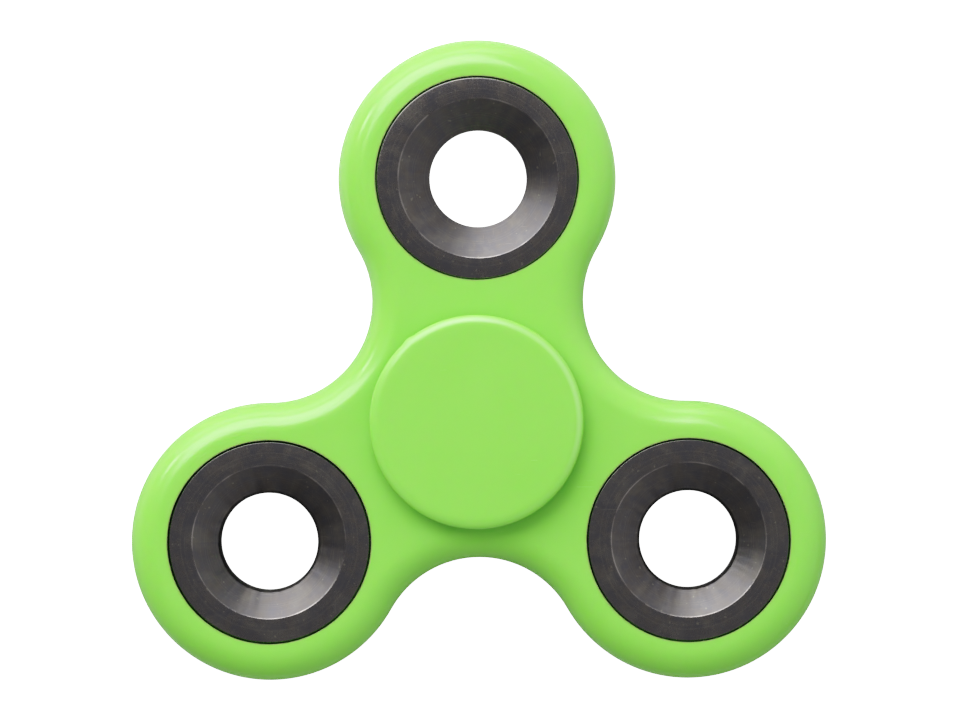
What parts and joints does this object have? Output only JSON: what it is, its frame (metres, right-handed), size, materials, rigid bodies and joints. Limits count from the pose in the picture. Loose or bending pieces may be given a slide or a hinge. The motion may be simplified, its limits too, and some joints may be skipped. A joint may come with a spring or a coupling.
{
  "type": "fidget spinner",
  "caption": "Three-armed hand spinner: a moulded body with a round weight ring in each arm turns on a ball bearing between two round finger caps.",
  "frame": {"origin": "where the spin axis meets the outer face of the lower finger cap, the face the spinner stands on", "axes": "+Z along the spin axis from the lower cap to the upper cap; +Y from the spin axis towards the centre of the arm with counterweight_1"},
  "size_m": [0.0752, 0.0693, 0.0124],
  "materials": {
    "green_plastic": "moulded in light green, satin to semi-gloss",
    "black_steel": "turned steel with a thin black oxide finish, semi-gloss",
    "bearing_steel": "ground bearing steel",
    "ball_steel": "polished bearing steel",
    "pressed_steel": "pressed sheet steel"
  },
  "bodies": {
    "hub": {"upper_cap": "green_plastic", "lower_cap": "green_plastic", "bearing_inner_ring": "bearing_steel"},
    "rotor": {"spinner_body": "green_plastic", "counterweight_1": "black_steel", "counterweight_2": "black_steel", "counterweight_3": "black_steel", "bearing_outer_ring": "bearing_steel", "upper_shield": "pressed_steel", "lower_shield": "pressed_steel"},
    "cage": {"cage_upper_half": "pressed_steel", "cage_lower_half": "pressed_steel", "cage_rivet_1": "pressed_steel", "cage_rivet_2": "pressed_steel", "cage_rivet_3": "pressed_steel", "cage_rivet_4": "pressed_steel", "cage_rivet_5": "pressed_steel", "cage_rivet_6": "pressed_steel", "cage_rivet_7": "pressed_steel"},
    "ball_1": {"bearing_ball_1": "ball_steel"},
    "ball_2": {"bearing_ball_2": "ball_steel"},
    "ball_3": {"bearing_ball_3": "ball_steel"},
    "ball_4": {"bearing_ball_4": "ball_steel"},
    "ball_5": {"bearing_ball_5": "ball_steel"},
    "ball_6": {"bearing_ball_6": "ball_steel"},
    "ball_7": {"bearing_ball_7": "ball_steel"}
  },
  "joints": [
    {"name": "spin", "type": "hinge", "parent": "hub", "child": "rotor", "pos_m": [0, 0, 0.0062], "axis": [0, 0, 1], "continuous": true},
    {"name": "cage_orbit", "type": "hinge", "parent": "hub", "child": "cage", "pos_m": [0, 0, 0.0062], "axis": [0, 0, 1], "continuous": true},
    {"name": "ball_1_roll", "type": "hinge", "parent": "cage", "child": "ball_1", "pos_m": [0, 0.0075, 0.0062], "axis": [0, 0, 1], "continuous": true},
    {"name": "ball_2_roll", "type": "hinge", "parent": "cage", "child": "ball_2", "pos_m": [-0.00586, 0.00468, 0.0062], "axis": [0, 0, 1], "continuous": true},
    {"name": "ball_3_roll", "type": "hinge", "parent": "cage", "child": "ball_3", "pos_m": [-0.00731, -0.00167, 0.0062], "axis": [0, 0, 1], "continuous": true},
    {"name": "ball_4_roll", "type": "hinge", "parent": "cage", "child": "ball_4", "pos_m": [-0.00325, -0.00676, 0.0062], "axis": [0, 0, 1], "continuous": true},
    {"name": "ball_5_roll", "type": "hinge", "parent": "cage", "child": "ball_5", "pos_m": [0.00325, -0.00676, 0.0062], "axis": [0, 0, 1], "continuous": true},
    {"name": "ball_6_roll", "type": "hinge", "parent": "cage", "child": "ball_6", "pos_m": [0.00731, -0.00167, 0.0062], "axis": [0, 0, 1], "continuous": true},
    {"name": "ball_7_roll", "type": "hinge", "parent": "cage", "child": "ball_7", "pos_m": [0.00586, 0.00468, 0.0062], "axis": [0, 0, 1], "continuous": true}
  ],
  "couplings": [
    {"joint": "cage_orbit", "follows": "spin", "ratio": 0.6323},
    {"joint": "ball_1_roll", "follows": "spin", "ratio": 1.7579},
    {"joint": "ball_2_roll", "follows": "spin", "ratio": 1.7579},
    {"joint": "ball_3_roll", "follows": "spin", "ratio": 1.7579},
    {"joint": "ball_4_roll", "follows": "spin", "ratio": 1.7579},
    {"joint": "ball_5_roll", "follows": "spin", "ratio": 1.7579},
    {"joint": "ball_6_roll", "follows": "spin", "ratio": 1.7579},
    {"joint": "ball_7_roll", "follows": "spin", "ratio": 1.7579}
  ]
}
